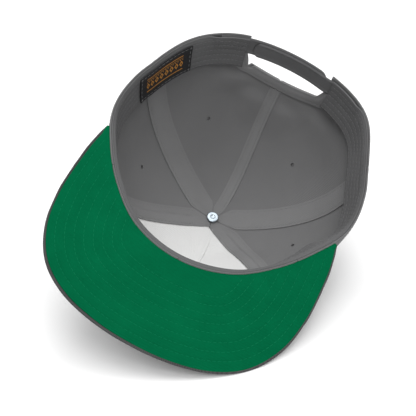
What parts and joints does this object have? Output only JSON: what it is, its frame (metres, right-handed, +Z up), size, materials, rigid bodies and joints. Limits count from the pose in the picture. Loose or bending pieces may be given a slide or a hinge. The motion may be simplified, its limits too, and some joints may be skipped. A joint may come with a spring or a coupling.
{
  "type": "flat bill cap",
  "caption": "Six-panel snapback cap with a flat bill, lying upside down; its hollow, sweatband, seam tapes, lining and snap strap are modelled.",
  "frame": {"origin": "on the surface that the cap lies on, under the middle of its bounding box", "axes": "+Z up from the surface; the bill points along -Y and the strap along +Y; the cap lies upside down, tipped onto its bill and leaning"},
  "size_m": [0.1724, 0.2456, 0.152],
  "materials": {
    "crown_cloth": "grey cotton and wool twill",
    "tape_cloth": "smooth grey tape",
    "white_tape": "white tape",
    "buckram": "white stiff lining",
    "band_cloth": "grey twill with stitched ridges",
    "label_cloth": "black woven tab",
    "bill_cloth": "grey cotton and wool twill",
    "under_cloth": "green twill with stitched rows",
    "strap_plastic": "satin grey plastic",
    "rivet_metal": "pale lacquered metal"
  },
  "bodies": {
    "root": {"front_left_panel": "crown_cloth", "front_right_panel": "crown_cloth", "side_left_panel": "crown_cloth", "side_right_panel": "crown_cloth", "back_left_panel": "crown_cloth", "back_right_panel": "crown_cloth", "buckram_left": "buckram", "buckram_right": "buckram", "seam_tape_front": "white_tape", "seam_tape_front_left": "tape_cloth", "seam_tape_front_right": "tape_cloth", "seam_tape_back_left": "tape_cloth", "seam_tape_back_right": "tape_cloth", "seam_tape_back": "tape_cloth", "arch_binding": "tape_cloth", "sweatband": "band_cloth", "label": "label_cloth", "top_button": "crown_cloth", "button_rivet": "rivet_metal", "bill_board": "bill_cloth", "bill_under_cloth": "under_cloth", "strap_socket_side": "strap_plastic", "strap_snap_side": "strap_plastic"}
  },
  "joints": []
}
